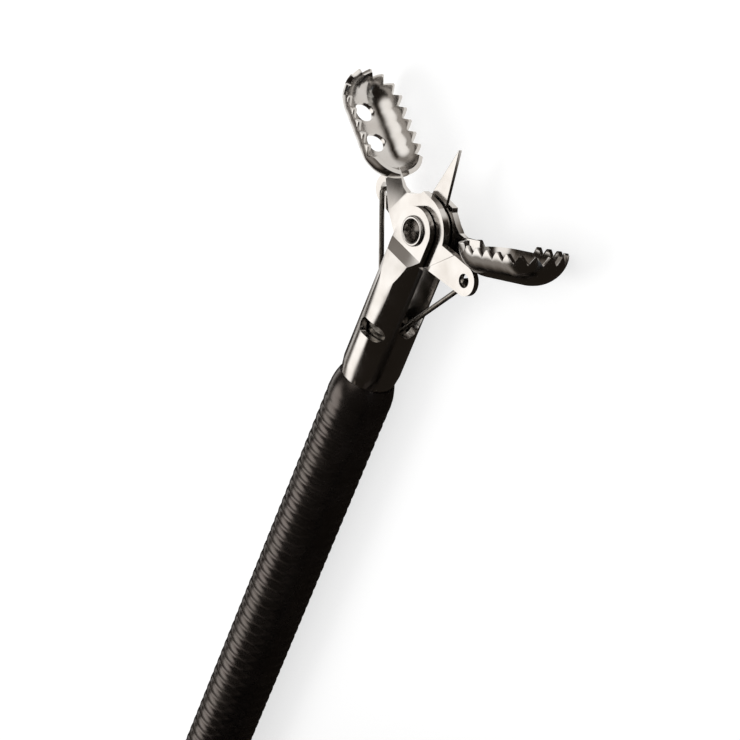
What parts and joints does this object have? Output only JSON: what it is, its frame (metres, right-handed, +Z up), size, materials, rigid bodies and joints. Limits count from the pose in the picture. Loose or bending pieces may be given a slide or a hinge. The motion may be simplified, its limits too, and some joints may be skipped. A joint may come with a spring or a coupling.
{
  "type": "endoscopic biopsy forceps",
  "caption": "Flexible biopsy forceps: toothed fenestrated cup jaws with a central spike, a coiled black shaft and a ring handle with a finger spool.",
  "frame": {"origin": "on the handle's flat underside, on the barrel's centre line, where the barrel's web widens into the thumb ring", "axes": "+X along the handle to the thumb ring, which is also where the jaws point; +Z up off the table"},
  "size_m": [0.1673, 0.066, 0.013],
  "materials": {
    "polished_steel": "polished stainless steel",
    "drawn_wire": "drawn stainless wire",
    "black_jacket": "black satin polymer jacket",
    "black_boot": "soft matt black",
    "white_moulding": "fine satin moulding",
    "grey_moulding": "fine satin moulding"
  },
  "bodies": {
    "instrument": {"handle_body": "white_moulding", "nose_cap": "grey_moulding", "strain_relief": "black_boot", "sheath_ferrule": "polished_steel", "sheath_tail": "black_jacket", "sheath_coil": "black_jacket", "sheath_run": "black_jacket", "sheath_collar": "black_jacket", "clevis": "polished_steel", "pivot_rivet": "polished_steel", "center_spike": "polished_steel"},
    "spool": {"spool_half_upper": "white_moulding", "spool_half_lower": "white_moulding", "cross_pin": "polished_steel", "slider_block": "grey_moulding", "drive_tube": "polished_steel", "grub_screw": "drawn_wire"},
    "drive": {"wire_yoke": "drawn_wire", "drive_cable": "drawn_wire"},
    "wire_left": {"pull_wire_left": "drawn_wire"},
    "wire_right": {"pull_wire_right": "drawn_wire"},
    "jaw_left": {"jaw_left": "polished_steel"},
    "jaw_right": {"jaw_right": "polished_steel"}
  },
  "joints": [
    {"name": "spool_slide", "type": "slide", "parent": "instrument", "child": "spool", "axis": [1, 0, 0], "range_m": [0, 0.008]},
    {"name": "drive_slide", "type": "slide", "parent": "instrument", "child": "drive", "axis": [-1, 0, 0], "range_m": [0, 0.00306]},
    {"name": "wire_left_swing", "type": "hinge", "parent": "drive", "child": "wire_left", "pos_m": [-0.08252, 0.0397, 0.00126], "axis": [0, 0, 1], "range_deg": [0, 21.1], "deforming": ["pull_wire_left"]},
    {"name": "wire_right_swing", "type": "hinge", "parent": "drive", "child": "wire_right", "pos_m": [-0.08252, 0.0403, 0.00126], "axis": [0, 0, 1], "range_deg": [-20.8, 0], "deforming": ["pull_wire_right"]},
    {"name": "jaw_left_pivot", "type": "hinge", "parent": "instrument", "child": "jaw_left", "pos_m": [-0.07812, 0.04, 0.00126], "axis": [0, 0, 1], "range_deg": [-62.3, 0]},
    {"name": "jaw_right_pivot", "type": "hinge", "parent": "instrument", "child": "jaw_right", "pos_m": [-0.07812, 0.04, 0.00126], "axis": [0, 0, 1], "range_deg": [0, 64]}
  ],
  "couplings": [
    {"joint": "drive_slide", "follows": "spool_slide", "ratio": 0.3809},
    {"joint": "wire_left_swing", "follows": "spool_slide", "rad_per_m": 45.8},
    {"joint": "wire_right_swing", "follows": "spool_slide", "rad_per_m": -45.2},
    {"joint": "jaw_left_pivot", "follows": "spool_slide", "rad_per_m": -135.9},
    {"joint": "jaw_right_pivot", "follows": "spool_slide", "rad_per_m": 139.6}
  ]
}
